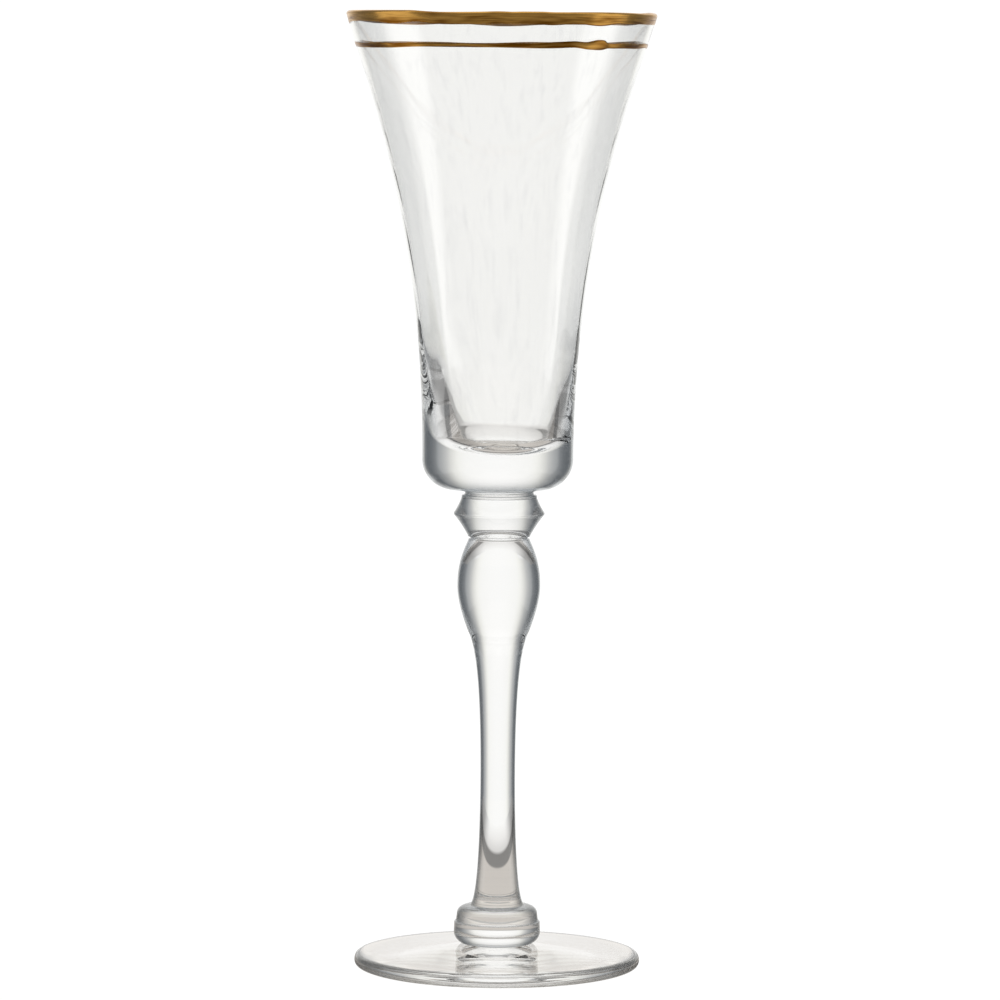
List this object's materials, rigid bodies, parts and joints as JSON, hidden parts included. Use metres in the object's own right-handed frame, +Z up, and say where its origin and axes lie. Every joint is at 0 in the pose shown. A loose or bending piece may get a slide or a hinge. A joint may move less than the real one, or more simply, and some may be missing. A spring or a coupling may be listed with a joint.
{
  "type": "champagne flute",
  "caption": "Clear glass champagne flute with a flared panelled bowl, ridged knop, baluster stem, disc foot and gold-lined rim.",
  "frame": {"origin": "centre of the surface that the foot stands on", "axes": "+Z up along the axis of the glass; +X and +Y are alike, with the middle of a panel facing -Y"},
  "size_m": [0.0824, 0.0824, 0.254],
  "materials": {
    "clear_glass": "fire-polished clear glass",
    "fired_gold": "hand-painted, fired and lightly burnished gold"
  },
  "bodies": {
    "root": {"foot": "clear_glass", "foot_collar": "clear_glass", "baluster_stem": "clear_glass", "lower_wafer": "clear_glass", "ridged_knop": "clear_glass", "upper_wafer": "clear_glass", "bowl": "clear_glass", "rim_gold_band": "fired_gold", "gold_line": "fired_gold"}
  },
  "joints": []
}
